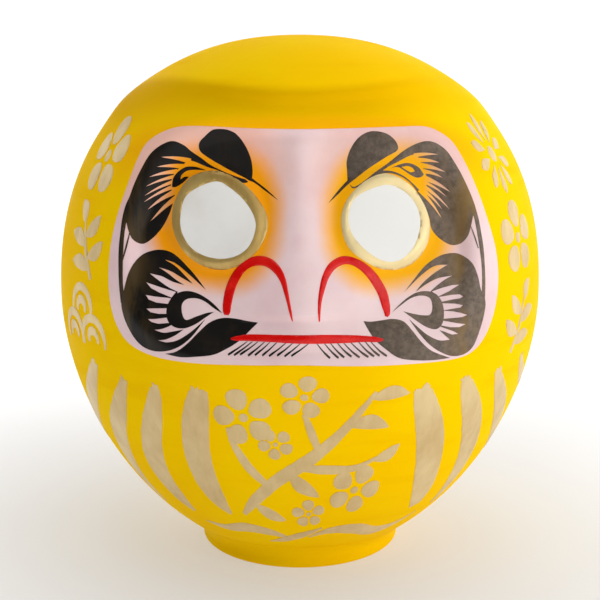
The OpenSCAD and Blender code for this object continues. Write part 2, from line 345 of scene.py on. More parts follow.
def border(tris):
    """Directed edges that only one triangle has, in the order of the triangles."""
    edges = {}
    for t in tris:
        for k in range(3):
            edges[(t[k], t[(k + 1) % 3])] = True
    return [e for e in edges if (e[1], e[0]) not in edges]


SUNK = 0.25         # how far a skin of paint reaches into what it lies on
EDGE_SHARE = 0.5    # how thick paint is at its edge, as a share of its thickness


def skin_mesh(loops, place, base, thick, cuts, step):
    """Points and faces of a thin closed skin over the wall, which thins out at its edges."""
    flat, tris = flat_mesh(list(loops), list(cuts), step)
    rim = border(tris)
    on_rim = np.zeros(len(flat), bool)
    on_rim[[e[0] for e in rim]] = True
    p = place(flat[:, 0], flat[:, 1])
    n = normals(place, flat[:, 0], flat[:, 1])
    top = p + n * (base + thick * np.where(on_rim, EDGE_SHARE, 1))[:, None]
    low = p + n * (base - SUNK)
    count = len(flat)
    faces = tris.tolist() + (tris[:, ::-1] + count).tolist()
    faces += [[b, a, a + count, b + count] for a, b in rim]
    return np.vstack([top, low]), faces


def film(name, loops, place, layer, material, cuts=(), step=1.6):
    """One patch of paint. layer is the height of what it lies on and its own thickness."""
    verts, faces = skin_mesh(loops, place, *layer, cuts, step)
    add_piece(name, verts, faces, material, crease=80)


def strokes(name, outlines, place, layer, material, step):
    """Several brush strokes in one piece. Neighbours lie at different heights, so none coincide."""
    base, thick = layer
    verts, faces, start = [], [], 0
    for number, loop in enumerate(outlines):
        v, f = skin_mesh([loop], place, base + 0.03 * (number % 4), thick, (), step)
        verts.append(v)
        faces += [[k + start for k in face] for face in f]
        start += len(v)
    add_piece(name, np.vstack(verts), faces, material, crease=80)


def ribbon_loop(points, per=8):
    """Outline of a brush stroke from (a, b, width) along its middle."""
    c = curve(points, per=per)
    mid, w = c[:, :2], np.maximum(c[:, 2:], 0.05)
    along = unit(np.gradient(mid, axis=0))
    across = np.stack([-along[:, 1], along[:, 0]], -1)
    return np.vstack([mid + across * w / 2, (mid - across * w / 2)[::-1]])


def leaf(a, b, width, bow=0.0, fat=0.5):
    """Outline of a tapered stroke from point a to point b. fat says where it is widest."""
    a, b = np.array(a, float), np.array(b, float)
    t = np.linspace(0, 1, 13)[:, None]
    d = b - a
    side_way = np.array([-d[1], d[0]]) / np.linalg.norm(d)
    k = math.log(0.5) / math.log(fat)
    w = width / 2 * np.sin(np.pi * t ** k) ** 0.8
    mid = a + d * t + side_way * bow * np.sin(np.pi * t)
    return np.vstack([mid + side_way * w, (mid - side_way * w)[1:-1][::-1]])


# ---- materials
# Noise scales are per metre. Four numbers in remap are two places and the values there
class Nodes:
    """Short calls for building the nodes of one material, or of the sky."""

    def __init__(self, name, kind=bpy.data.materials, shader="Principled BSDF", where="Object"):
        self.owner = kind.new(name)
        self.owner.use_nodes = True
        self.tree = self.owner.node_tree
        self.shader = self.tree.nodes[shader]
        self.where = self.tree.nodes.new("ShaderNodeTexCoord").outputs[where]

    def put(self, socket, value):
        """Sets a node's input to a value, or links it to another node's output."""
        if isinstance(value, bpy.types.NodeSocket):
            self.tree.links.new(value, socket)
        else:
            socket.default_value = value

    def set(self, node, **values):
        """Puts values into the inputs with these names. An underscore stands for a space."""
        for name, value in values.items():
            self.put(node.inputs[name.replace("_", " ")], value)

    def new(self, kind, **values):
        node = self.tree.nodes.new("ShaderNode" + kind)
        self.set(node, **values)
        return node

    def math(self, kind, *values, node="Math", result=0):
        node = self.new(node)
        node.operation = kind
        for socket, value in zip(node.inputs, values):
            self.put(socket, value)
        return node.outputs[result]

    def times(self, first, *others):
        for other in others:
            first = self.math("MULTIPLY", first, other)
        return first

    def stretch(self, scale):
        return self.new("Mapping", Vector=self.where, Scale=scale).outputs[0]

    def noise(self, scale, detail, rough=0.55, vector=None):
        node = self.new("TexNoise", Vector=vector or self.where, Scale=scale, Detail=detail, Roughness=rough)
        return node.outputs["Fac"]

    def remap(self, value, a, b, c, d):
        """c where value is a, d where it is b, and a smooth step in between."""
        node = self.new("MapRange", Value=value, From_Min=a, From_Max=b, To_Min=c, To_Max=d)
        node.interpolation_type = "SMOOTHSTEP"
        return node.outputs[0]

    def mix(self, fac, a, b):
        node = self.new("Mix")
        node.data_type = "RGBA"
        for number, value in ((0, fac), (6, a), (7, b)):
            self.put(node.inputs[number], (*value, 1.0) if isinstance(value, tuple) else value)
        return node.outputs[2]

    def axes(self):
        return self.new("SeparateXYZ", Vector=self.where).outputs

    def bump(self, height, strength, distance, **normal):
        return self.new("Bump", Height=height, Strength=strength, Distance=distance, **normal).outputs[0]

    def finish(self, colour, rough, **others):
        self.set(self.shader, Base_Color=colour, Roughness=rough, **others)
        return self.owner


def srgb(r, g, b):
    """A colour from its usual 0 to 255 values."""
    return tuple(((c / 255 + 0.055) / 1.055) ** 2.4 if c > 10 else c / 3294.6 for c in (r, g, b))


def painted_shade_under_ridge(m):
    """Mask of the shade painted into the robe under the hood's ridge: 1 in the hollow there, fading out
    towards the sides.
    """
    x, y, z = m.axes()
    t = m.math("POWER", m.math("DIVIDE", x, RIDGE_SPAN * MM), 2)
    bow = m.times(m.times(t, m.math("SUBTRACT", 1, t)), 4 * RIDGE_WAVE * MM)
    below = m.math("SUBTRACT", m.math("SUBTRACT", z, RIDGE_H * MM), bow)
    band = m.times(m.remap(below, -0.030, -0.006, 0, 1), m.remap(below, -0.002, 0.004, 1, 0))
    near = m.times(m.remap(x, 0.02, 0.11, 1, 0), m.remap(x, -0.13, -0.1, 0, 1))
    return m.times(band, near, m.remap(y, -0.02, 0, 1, 0))


MIST_HALF_W, MIST_HALF_H = 0.099, 0.0625    # where the mist round the face is thickest


def overspray(m):
    """1 on the robe close to the upper corners of the face, where orange mist has settled."""
    x, y, z = m.axes()
    wide = m.math("POWER", m.math("DIVIDE", m.math("ABSOLUTE", x), MIST_HALF_W), 4)
    high = m.math("POWER", m.math("DIVIDE", m.math("SUBTRACT", z, FACE_H * MM), MIST_HALF_H), 4)
    near = m.remap(m.math("ADD", wide, high), 1.0, 1.7, 1, 0)
    return m.times(near, m.times(m.remap(z, 0.235, 0.262, 0, 1), m.remap(y, -0.05, -0.02, 1, 0)))


def robe_paint():
    m = Nodes("robe_paint")
    broad = m.noise(11, 3)
    brushed = m.noise(75, 4, 0.6, vector=m.stretch((0.16, 0.16, 1)))
    fibres = m.noise(420, 5, 0.65)
    colour = m.mix(m.remap(broad, 0.3, 0.7, 0, 1), srgb(255, 211, 0), srgb(255, 202, 0))
    colour = m.mix(m.remap(brushed, 0.5, 0.75, 0, 0.45), colour, srgb(246, 190, 0))
    # Painted shade: the robe's yellow is darkened in the hollow under the hood's ridge.
    colour = m.mix(m.times(painted_shade_under_ridge(m), 0.65), colour, srgb(216, 160, 0))
    colour = m.mix(m.times(overspray(m), 0.4), colour, srgb(250, 150, 20))
    rough = m.remap(brushed, 0.3, 0.7, 0.44, 0.58)
    bump = m.bump(fibres, 0.22, 0.0003, Normal=m.bump(brushed, 0.3, 0.0005))
    return m.finish(colour, rough, Normal=bump, Specular_IOR_Level=0.004)


def skin_paint():
    m = Nodes("skin_paint")
    x, _, z = m.axes()
    mist = m.times(m.math("SUBTRACT", m.noise(30, 3), 0.5), 0.5)

    def reach(away, half):
        """Share of the way to the patch's edge, along one axis."""
        return m.math("ABSOLUTE", m.math("DIVIDE", away, half))

    def patch(middle, high, half_w, half_h, power, soft):
        """A sprayed patch round each eye, 1 in its middle and 0 outside."""
        off = m.math("SUBTRACT", m.math("ABSOLUTE", m.math("SUBTRACT", x, 0.0015)), middle)
        q = m.math("ADD", m.math("POWER", reach(off, half_w), power),
                   m.math("POWER", reach(m.math("SUBTRACT", z, high), half_h), power))
        return m.remap(m.math("ADD", q, mist), 1 - soft, 1 + soft, 1, 0)

    glow = patch(0.0475, 0.2255, 0.0362, 0.0385, 2.4, 0.42)
    tips = m.times(m.remap(m.math("ABSOLUTE", x), 0.066, 0.079, 0, 0.7), m.remap(z, 0.215, 0.232, 0, 1))
    glow = m.times(glow, m.math("SUBTRACT", 1, tips))
    # The orange haze round the eyes is sprayed paint, made fainter on the right: painted light where the
    # light falls.
    haze = m.times(patch(0.055, 0.246, 0.046, 0.036, 2.2, 0.7), m.remap(x, -0.03, 0.05, 0.42, 0.2))
    mottled = m.mix(m.remap(m.noise(25, 4), 0.35, 0.7, 0, 1), srgb(242, 215, 215), srgb(232, 199, 201))
    colour = m.mix(haze, mottled, srgb(248, 156, 80))
    # The orange round the eyes is paler on the right: painted light where the light falls.
    orange = m.mix(m.remap(x, -0.03, 0.03, 0, 1), srgb(252, 160, 0), srgb(255, 180, 0))
    colour = m.mix(glow, colour, orange)
    streaks = m.noise(70, 3, vector=m.stretch((0.3, 1, 1)))
    bump = m.bump(m.noise(380, 5, 0.65), 0.15, 0.0003, Normal=m.bump(streaks, 0.15, 0.0004))
    return m.finish(colour, m.remap(streaks, 0.3, 0.7, 0.5, 0.62), Normal=bump, Specular_IOR_Level=0.12)


def ink(name, dark, thin, gloss, streak=(1, 1, 0.2), cove_reflection=None, **fixed):
    """Brushed lacquer: thin stretches show a second colour, and brush hairs leave ridges.
    cove_reflection is a painted reflection of the yellow robe: streaks towards the sides of the face,
    stronger on the right. With it, the ink also gets a painted sheen, paler towards the right."""
    m = Nodes(name)
    streaks = m.noise(130, 4, 0.6, vector=m.stretch(streak))
    pools = m.noise(38, 3)
    colour = m.mix(m.remap(streaks, 0.5, 0.75, 0, 0.8), dark, thin)
    colour = m.mix(m.remap(pools, 0.45, 0.75, 0, 0.5), colour, thin)
    if cove_reflection:
        x = m.axes()[0]
        # Painted sheen: the black is lightened to a brownish grey towards the right, where the light falls.
        sheen_mottle = m.remap(m.noise(260, 5, 0.7), 0.3, 0.7, 0.5, 1)
        right = m.remap(x, -0.02, 0.075, 0, 1)
        colour = m.mix(m.times(right, sheen_mottle, 0.75), colour, srgb(140, 122, 106))
        # Painted reflection of the yellow robe in the cove: streaks towards the sides of the face, stronger
        # on the right.
        out = m.remap(m.math("ABSOLUTE", x), 0.074, 0.094, 0, 1)
        reflection_streaks = m.remap(m.noise(70, 4, 0.6, vector=m.stretch((1, 1, 0.25))), 0.42, 0.62, 0, 0.9)
        share = m.math("MULTIPLY_ADD", right, 0.7, 0.25)
        colour = m.mix(m.times(out, reflection_streaks, share), colour, cove_reflection)
    rough = m.remap(pools, 0.3, 0.7, gloss, gloss + 0.12)
    return m.finish(colour, rough, Normal=m.bump(streaks, 0.35, 0.0004), **fixed)


def gold_paint(name, light, dark, metallic, lit=None):
    """Brushed gold: long streaks, paler pools and fine flakes. lit is a paler colour painted in towards the
    right, a painted highlight.
    """
    m = Nodes(name)
    streaks = m.noise(120, 5, 0.65, vector=m.stretch((1, 1, 0.12)))
    pools = m.noise(26, 3)
    fleck = m.noise(900, 2)
    shade = m.math("ADD", m.times(streaks, 0.4), m.times(pools, 0.6))
    colour = m.mix(m.remap(shade, 0.3, 0.75, 0, 1), light, dark)
    # Painted highlight: the gold turns paler towards the right.
    if lit:
        colour = m.mix(m.remap(m.axes()[0], -0.02, 0.03, 0, 0.8), colour, lit)
    bump = m.bump(fleck, 0.2, 0.0002, Normal=m.bump(streaks, 0.4, 0.0004))
    return m.finish(colour, m.remap(streaks, 0.3, 0.7, 0.34, 0.5), Normal=bump, Metallic=metallic)


def eye_white():
    m = Nodes("eye_white")
    colour = m.mix(m.remap(m.noise(22, 4), 0.4, 0.7, 0, 1), srgb(240, 238, 233), srgb(230, 226, 219))
    bump = m.bump(m.noise(300, 4), 0.12, 0.0003)
    return m.finish(colour, m.remap(m.noise(60, 3), 0.3, 0.7, 0.5, 0.65), Normal=bump)


def raw_paper(name, light, dark):
    m = Nodes(name)
    fibres = m.noise(240, 6, 0.7, vector=m.stretch((1, 0.35, 1)))
    colour = m.mix(m.remap(fibres, 0.35, 0.7, 0, 1), light, dark)
    return m.finish(colour, m.remap(fibres, 0.3, 0.7, 0.8, 0.95), Normal=m.bump(fibres, 0.5, 0.0005))


ROBE = robe_paint()
SKIN = skin_paint()
# The black carries a painted sheen on the right and a painted reflection of the robe at the sides of the
# face.
BLACK = ink("black_paint", srgb(12, 10, 8), srgb(34, 22, 7), 0.42, cove_reflection=srgb(132, 102, 48),
            Specular_IOR_Level=0.22)
RED = ink("red_paint", srgb(214, 4, 2), srgb(242, 40, 24), 0.24, streak=(0.4, 1, 1),
          Specular_IOR_Level=0.3)
GOLD = gold_paint("gold_paint", srgb(230, 204, 150), srgb(204, 172, 114), 0.3)
# The eye rings' gold carries a painted highlight on the right.
RING = gold_paint("ring_gold", srgb(206, 176, 106), srgb(160, 127, 59), 0.45,
                  lit=srgb(240, 220, 166))
WHITE = eye_white()
PAPER = raw_paper("raw_paper", srgb(224, 214, 190), srgb(196, 180, 150))
BOARD = raw_paper("board", srgb(186, 158, 118), srgb(150, 122, 86))
CLAY = raw_paper("clay", srgb(190, 126, 92), srgb(158, 98, 70))


# ---- the papier-mache wall
face_outline = curve([(-82, 265), (-70, 271.5), (-56, 273.4), (-26, 272.4), (0, 272), (26, 272.4),
    (50, 273), (66, 273), (75, 270), (83, 264), (90, 253), (97, 238), (103, 222), (108, 206), (110, 190),
    (108.5, 174), (104, 161), (97, 152), (86, 148.4), (60, 148.6), (30, 149.4), (0, 150.4), (-30, 150),
    (-60, 149.4), (-78, 150.4), (-91, 154), (-99, 161), (-104, 173), (-105.5, 189), (-104, 207), (-100, 224),
    (-94, 241), (-88, 256)], closed=True)

PAINT_GAP = 0.4     # how far the wall lies below the paint of the face


def under_paint(x, z):
    """1 well inside the painted face, where the wall lies a little below its paint."""
    points = np.stack([x.ravel(), z.ravel()], -1)
    near = np.full(len(points), np.inf)
    for part in np.array_split(face_outline, 8):
        near = np.minimum(near, np.linalg.norm(points[:, None] - part[None], axis=-1).min(1))
    return (smooth(0, 2.5, near) * inside(points, face_outline)).reshape(x.shape)


def shell_grid(is_front):
    """Angles and heights of the wall's points, closer together at the face and the crown."""
    if is_front:
        turns = np.concatenate([np.linspace(0, 40, 40), np.linspace(40, 140, 170)[1:-1],
                                np.linspace(140, 180, 40)])
        low, mid, high = 50, 112, 40
    else:
        turns, low, mid, high = np.linspace(0, 180, 121), 30, 40, 30
    lift = CROWN_RISE * (1 - np.sin(np.linspace(0.82, 1.555, high)) ** (2 / SIDE_N))
    zs = np.concatenate([np.linspace(FOOT_H, 140, low, endpoint=False),
                         np.linspace(140, CROWN - lift[0], mid, endpoint=False), CROWN - lift])
    return np.meshgrid(turns, zs)


def shell_faces(nr, nc):
    """Faces of two grids of nr rows and nc columns, each closed at the crown, and the rim between."""
    count = nr * nc
    crown, deep_crown = 2 * count, 2 * count + 1
    faces = grid_faces(nr, nc).tolist() + grid_faces(nr, nc, count, flip=True).tolist()
    last = count - nc
    for j in range(nc - 1):
        faces.append([last + j, last + j + 1, crown])
        faces.append([count + last + j + 1, count + last + j, deep_crown])
    loop = list(range(nc - 1, 0, -1)) + [i * nc for i in range(nr)] + [crown]
    loop += [i * nc + nc - 1 for i in range(nr - 1, 0, -1)]
    return faces + rim_faces(loop, [deep_crown if k == crown else k + count for k in loop])


def shell(name, is_front):
    """Half of the hollow wall, closed, in place of the CAD node of the same name."""
    t, z = shell_grid(is_front)
    outer = at_turn(t, z, is_front)
    inner = lining(t, z, is_front)
    if is_front:
        outer[..., 1] += PAINT_GAP * under_paint(outer[..., 0], outer[..., 2])
    crown = np.array([[0, 0, CROWN], [0, 0, CROWN - WALL]])
    verts = np.vstack([outer.reshape(-1, 3), inner.reshape(-1, 3), crown])
    faces = shell_faces(*t.shape)
    if not is_front:
        faces = [f[::-1] for f in faces]
    piece = add_piece(name + "_skin", verts, faces, ROBE, crease=60)
    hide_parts(name)


PROBE = 1.5         # step used to find which way the wall faces


def lining(t, z, is_front):
    """Inside of the wall. The lowest row stays level, and the seam stays on its plane."""
    a0, a1 = np.clip(t - PROBE, 0, 180), np.clip(t + PROBE, 0, 180)
    z0, z1 = np.maximum(z - PROBE, FOOT_H - 3), np.minimum(z + PROBE, CROWN - 0.02)
    n = np.cross(at_turn(a1, z, is_front) - at_turn(a0, z, is_front),
                 at_turn(t, z1, is_front) - at_turn(t, z0, is_front))
    n = n if is_front else -n
    n[..., 1] = np.where((t <= 0) | (t >= 180), 0, n[..., 1])
    n = unit(n)
    level = n.copy()
    level[..., 2] = 0
    level /= np.sum(level ** 2, -1, keepdims=True)
    return at_turn(t, z, is_front) - WALL * np.where((z <= FOOT_H)[..., None], level, n)


shell("front_shell", True)
shell("back_shell", False)

# ---- the face
# Each layer is the height that it lies on and its own thickness
GROUND, WHITE_ON, RING_ON, INK_ON, RED_ON = (0, 0.2), (0.2, 0.15), (0.2, 0.3), (0.2, 0.2), (0.2, 0.35)

film("face_ground", [face_outline], at_face, GROUND, SKIN, step=1.7)

left_white = curve([(-46, 244), (-37, 240.5), (-28, 232), (-23.6, 222), (-27, 211), (-35, 205), (-46, 203.7),
    (-57, 207.5), (-63.5, 216), (-64.5, 226), (-60.5, 237)], closed=True)
left_ring = curve([(-48, 249.4), (-37, 247), (-26, 239), (-17.5, 226), (-19, 214), (-27, 204), (-39, 198),
    (-51, 199), (-62, 206), (-68.5, 218), (-68, 232), (-60, 245)], closed=True)
right_white = curve([(45, 242.2), (55, 239.3), (62.5, 231.5), (65, 221), (61.5, 209.5), (54, 202.7),
    (45, 202.3), (35.5, 208), (28, 216.5), (25.9, 226), (30, 236)], closed=True)
right_ring = curve([(44, 248), (34, 243.7), (25.5, 235), (22, 224), (25, 211.5), (33.5, 203.5), (45, 197.8),
    (57, 198.3), (66, 205), (70.3, 216), (68.5, 228), (62, 239), (53, 246)], closed=True)
for word, white, ring in (("left", left_white, left_ring), ("right", right_white, right_ring)):
    film("eye_white_" + word, [white], at_face, WHITE_ON, WHITE)
    film("eye_ring_" + word, [ring, white], at_face, RING_ON, RING, step=1.2)


def wedge(tip, root, width, bow=0.6):
    """Outline of a gap that widens from its tip to its root."""
    a, b = np.array(tip, float), np.array(root, float)
    t = np.linspace(0, 1, 9)[:, None]
    d = b - a
    up = np.array([-d[1], d[0]]) / np.linalg.norm(d) * (1 if b[0] > a[0] else -1)
    mid = a + d * t + up * bow * np.sin(np.pi * t)
    w = width / 2 * t ** 0.75
    return np.vstack([mid + up * w, (mid - up * w)[1:][::-1]])


def ink_film(name, loop, cuts=()):
    film(name, [loop], at_face, INK_ON, BLACK, cuts=cuts, step=1.4)


# Brows: the dark patch over the nose with its spike, the wing, and the swirl in its fan-shaped gap
ink_film("brow_patch_left", outline(
    [(-11.4, 234.4), (-18, 240), (-25.7, 245.7)],
    [(-25.4, 250), (-26.3, 256), (-29, 262.5), (-33.6, 268.9), (-38, 271.4), (-43, 272), (-47, 271.3),
     (-51, 268), (-54.2, 264.4), (-54, 260.2), (-50, 256.8), (-40.7, 251.4), (-29.3, 245.7)],
    [(-27.6, 244.6), (-24.3, 243.2), (-18, 238.8)]))
ink_film("brow_patch_right", outline(
    [(15.1, 232.9), (20.7, 239.6), (25.5, 244.6)],
    [(25.2, 250), (25, 254.5), (26.3, 259.5), (29.2, 264.8), (33.2, 268.9), (38.5, 270.9), (45, 270),
     (49.5, 267.4), (52.4, 263.6), (52.3, 260.2), (46.4, 256.8), (37, 250.8), (26.8, 243.2)],
    [(24, 240.8), (20, 236.9)]))
fan_left = outline(
    [(-43.5, 249.6), (-50.7, 251.6), (-56, 253.8), (-60, 254.6), (-64, 251.8), (-67.5, 248.5), (-69.5, 245),
     (-70, 240.5), (-69, 237), (-66.8, 235.4)],
    [(-64, 238.6), (-58, 243.5), (-50, 247.5)])
wing_gaps_left = [
    ((-75, 256.6), (-59, 254.2), 3.2), ((-77.6, 251.3), (-63, 251.3), 2.9),
    ((-81.8, 245.9), (-66.3, 248.7), 2.7), ((-83.8, 240.7), (-68.7, 245.8), 2.0),
    ((-84.6, 235.7), (-69.2, 243), 2.0), ((-85, 232.3), (-69.4, 240.2), 2.2),
    ((-83.2, 228), (-68.6, 237.4), 2.8), ((-81.6, 221.6), (-66.5, 235), 3.0)]
ink_film("brow_wing_left", outline(
    [(-29.3, 245.1), (-34.3, 246.6), (-41, 249.1), (-48, 252.3), (-53, 255.9), (-58.6, 259.6), (-62.5, 263),
     (-67.9, 265.2), (-73, 264), (-78.6, 260.4), (-82.5, 256), (-86, 250), (-89, 244), (-92, 236.5),
     (-94.6, 229), (-94.5, 223), (-93, 216), (-90.8, 211.8), (-87, 209.6), (-83.5, 210.4), (-78.6, 214.3),
     (-74, 220), (-70.4, 227), (-68, 234.5)],
    [(-65, 238.5), (-58, 244), (-50, 247.6), (-44, 248.6), (-38, 247), (-32.8, 244)],
    [(-30.5, 243.3), (-28, 243.7)]), [fan_left] + [wedge(*g) for g in wing_gaps_left])
fan_right = outline(
    [(44.5, 249.6), (48, 251.8), (53, 254.2), (58, 256.8), (62.5, 258.4)],
    [(64.6, 255.5), (66.3, 251), (68.4, 247), (69, 243), (68, 240), (66, 237.4)],
    [(62, 241.4), (58, 245), (53.5, 247.8), (49, 249.3)])
wing_gaps_right = [
    ((74.6, 258), (61.5, 257.3), 2.6), ((75.4, 253.6), (63.2, 254.8), 3.0),
    ((78.7, 248.6), (65, 252), 3.2), ((77.5, 245.4), (66.5, 248.9), 2.6),
    ((81.8, 237.7), (68, 245), 3.0), ((80, 234.9), (68.2, 242.6), 1.8),
    ((81.9, 228), (67.6, 240.4), 2.2), ((77.6, 228), (66, 239.4), 2.0),
    ((77.6, 222.9), (64.5, 239.2), 2.4)]
ink_film("brow_wing_right", outline(
    [(26.8, 242.6), (28.4, 241.3), (30.8, 242), (35, 244.8), (40.7, 249), (46.4, 252.7), (51.4, 256.6),
     (57, 260.8), (63, 264), (68.5, 265.2), (73.6, 263.9), (79, 260), (83, 254.6), (87, 248), (90.7, 240.7),
     (93.6, 234), (95.4, 228.5), (94, 225), (93, 220), (91.6, 214.5), (88.6, 210.4), (84.5, 208.9),
     (80, 210), (74.5, 214), (71.2, 218.5), (70, 224), (67.3, 230.5)],
    [(62.5, 239.3), (57.9, 244.2), (53, 247), (48, 248.3), (42, 247.6), (36, 244.6)],
    [(32, 242), (30, 240.9), (28, 240.7)]), [fan_right] + [wedge(*g) for g in wing_gaps_right])
ink_film("brow_swirl_left", outline(
    [(-50.7, 249.6), (-55, 251), (-58.6, 251.5), (-62, 251.1), (-65.8, 248.8), (-68.6, 245.6),
     (-69.4, 242.5), (-69.4, 240.2)],
    [(-67, 240.5), (-63, 243), (-60, 246)],
    [(-62.5, 245.8), (-64.7, 244.3)],
    [(-64.2, 246.6), (-61.5, 248.9), (-57, 249.7)]))
swirl_gap = outline(
    [(54.8, 251.2), (58, 251.8), (60.8, 250.8), (62.2, 248.9)],
    [(60, 248.3), (57.5, 249.5)])
ink_film("brow_swirl_right", outline(
    [(49.3, 250.9), (53.6, 252.6), (57.9, 253.4), (61.8, 252.4), (64.8, 250.4), (67.2, 247)],
    [(65.6, 245.7), (63, 245.5), (60, 246.8), (57, 248.8), (53.8, 251)],
    [(51.5, 251.3)]), [swirl_gap])

# Cheek beards: strands end in points, and gaps run in between them
beard_gaps_left = [
    [(-83.6, 189.3), (-75, 186.9), (-67, 184.9), (-69.5, 181.9), (-76.4, 184.3), (-80.9, 186.4)],
    [(-83.8, 182.7), (-78.6, 182.1), (-69.8, 181.6), (-70.7, 178.5), (-77.9, 179), (-82.1, 180.4)],
    [(-83.4, 175.7), (-78.6, 176), (-71.6, 176.4), (-71.6, 173.5), (-76.4, 173.3), (-80.9, 173.9)],
    [(-82.3, 170.4), (-77.9, 170.7), (-71.6, 171.7), (-70.4, 169), (-76.4, 168.3), (-80.2, 169)]]
ink_film("beard_left", outline(
    [(-50.7, 186.6), (-56.4, 193.7), (-61, 198.4), (-65, 202.3), (-69.3, 205.2), (-74.3, 206.6),
     (-80, 206.2), (-86, 203.8), (-90.4, 199.7), (-93.6, 193.6), (-95.8, 185.5), (-97.6, 178),
     (-96.4, 170.7), (-93.6, 164.3), (-89.5, 158.4), (-84.6, 154.8), (-78.6, 153.6), (-71.5, 154.7),
     (-64, 157.9), (-57.5, 163.2), (-50.7, 171.8)],
    [(-54.6, 168.2), (-59.5, 164.3), (-65.5, 160.7), (-71.4, 159.3), (-76.4, 160.1)],
    [(-72, 160.8), (-67, 163), (-62.5, 166.1)],
    [(-67.9, 164.9), (-73.4, 164), (-78.6, 165.2)],
    [(-74.3, 165.9), (-70, 167.6)],
    [(-67.5, 170), (-68.3, 175), (-68, 180), (-66.1, 185)],
    [(-71.4, 187.3), (-77, 190.8), (-81.8, 194.1)],
    [(-75, 192.8), (-69, 190.2), (-62.5, 188.7)],
    [(-67, 191.2), (-72, 194.7), (-76.6, 197.4)],
    [(-70, 195.6), (-63.5, 192.2), (-57.9, 189.5)],
    [(-62.3, 193.7), (-67.5, 198.3), (-73.6, 201.6)],
    [(-67.5, 199.8), (-60.7, 194.9)], per=6), beard_gaps_left)
beard_gaps_right = [
    [(86.8, 188), (82.9, 187.9), (77.1, 186.7), (71.4, 185), (75, 182.3), (80.7, 184.6)],
    [(88.8, 181.8), (87, 182.9), (82, 182.8), (75.2, 182), (76.9, 179.5), (83, 180.4), (87.1, 180.8)],
    [(88.6, 177.3), (84.3, 178.2), (77, 178.7), (77, 175), (82.9, 175.6), (87.1, 176.1)],
    [(90.9, 172.1), (87.4, 173.4), (82.9, 174.3), (77.2, 174.9), (77.2, 170.7), (83, 170.9), (88, 171.2)],
    [(90, 167.3), (85, 168.3), (77, 169.9), (76, 167.5), (81.1, 166.4), (86.4, 166.1)],
    [(85.7, 162.5), (82.9, 164.3), (75, 167.2), (73.9, 165.5), (77.9, 164.3), (82.1, 162.6)]]
ink_film("beard_right", outline(
    [(56.4, 185.4), (61, 190.8), (66.4, 197.1), (70.7, 200.6), (75, 203), (79.6, 204.4), (85, 204.6),
     (90, 202.8), (94.2, 199), (97, 192.2), (98.8, 185), (101.8, 178), (101.2, 170.7), (98.8, 162.5),
     (95.6, 154.6), (91.4, 150.8), (86, 149.8), (80, 151.2), (72, 156.2), (65, 162.9), (58.6, 171.4)],
    [(63, 167.5), (68.5, 163.1), (75, 160.1), (80.9, 160)],
    [(78.6, 162), (74.6, 165.7)],
    [(73.3, 169.5), (74.6, 175), (73.6, 181), (70.7, 185.1)],
    [(74, 187.8), (78.5, 190.8), (82.9, 192.9)],
    [(75, 191.8), (68.5, 189), (62.5, 185.1)],
    [(66.5, 189.6), (73, 194.6), (80.4, 198.7)],
    [(73, 198.2), (65.5, 193.5)], per=6), beard_gaps_right)
ink_film("beard_swirl_left", outline(
    [(-41.6, 175), (-45.5, 178.9), (-50.5, 182.4), (-56, 184.9), (-61.5, 185.6), (-66.6, 184.1),
     (-70.4, 180.4), (-72.2, 175.2), (-71.3, 170.2), (-67.8, 167.2), (-62, 166.7), (-55.7, 169.2),
     (-50, 173), (-46.1, 175.5)],
    [(-50, 174.8), (-55.5, 172.9), (-61.2, 170.9), (-63.5, 174.2), (-63.6, 178.8), (-60.8, 181.5),
     (-55.7, 182), (-51, 180.5), (-46.2, 177.4)]))
ink_film("beard_swirl_right", outline(
    [(49.3, 175.1), (53, 178.5), (58, 182.3), (63.5, 184.9), (69.3, 185.2), (74, 183.3), (77, 179),
     (77.9, 173.5), (76.8, 168.4), (73.4, 165.8), (68, 167.1), (61.5, 171.2), (55.6, 175.4)],
    [(60.5, 174.1), (66, 173), (70.3, 173.3), (71.5, 177.5), (70.2, 181.6), (65.5, 183.1), (60, 182),
     (54.8, 178.9)]))
ink_film("moustache_left", outline(
    [(-72.5, 153), (-66.5, 154.8), (-60.5, 159), (-54.5, 164.8), (-48.5, 170), (-42, 172.5), (-35, 172.7),
     (-28, 171.7), (-22.3, 171.1)],
    [(-26.8, 166.8), (-32.1, 161.8), (-38.5, 157.6), (-45.7, 154.4), (-55, 153), (-64, 152.1)]))
ink_film("moustache_right", outline(
    [(33.8, 171.4), (38, 170.9), (44, 171.4), (50, 171.8), (55.6, 170.3), (60, 165.9), (65.4, 159.4),
     (71.5, 154.4), (81.4, 149.4)],
    [(72, 149.5), (62, 150.5), (53, 152.4), (46.5, 156.3), (40.7, 161.1), (36.8, 166.2)]))

edge_lines = {
    "left": [[(-90.5, 238, 0.6), (-93.4, 231, 2.0), (-95.2, 224, 2.6), (-96.5, 216, 2.3), (-97.3, 208, 2.6),
              (-97.7, 198, 2.5), (-97.6, 188, 2.3), (-96.6, 178, 2.6)],
             [(-92.7, 216, 0.5), (-93.9, 211, 0.9), (-95.2, 206, 0.9), (-96.6, 201, 0.5)]],
    "right": [[(90.5, 238.5, 0.6), (93.2, 231.5, 2.2), (95.7, 224, 2.3), (97.4, 216, 2.3), (98.8, 208, 2.3),
               (100, 198, 1.9), (100.5, 188, 2.0), (100.3, 178, 2.4)],
              [(92.8, 219.5, 0.3), (94.9, 214, 0.7), (97, 207.5, 0.5)]]}

for word, lines in edge_lines.items():
    for number, line in enumerate(lines, 1):
        ink_film(f"edge_line_{word}_{number}", ribbon_loop(line))

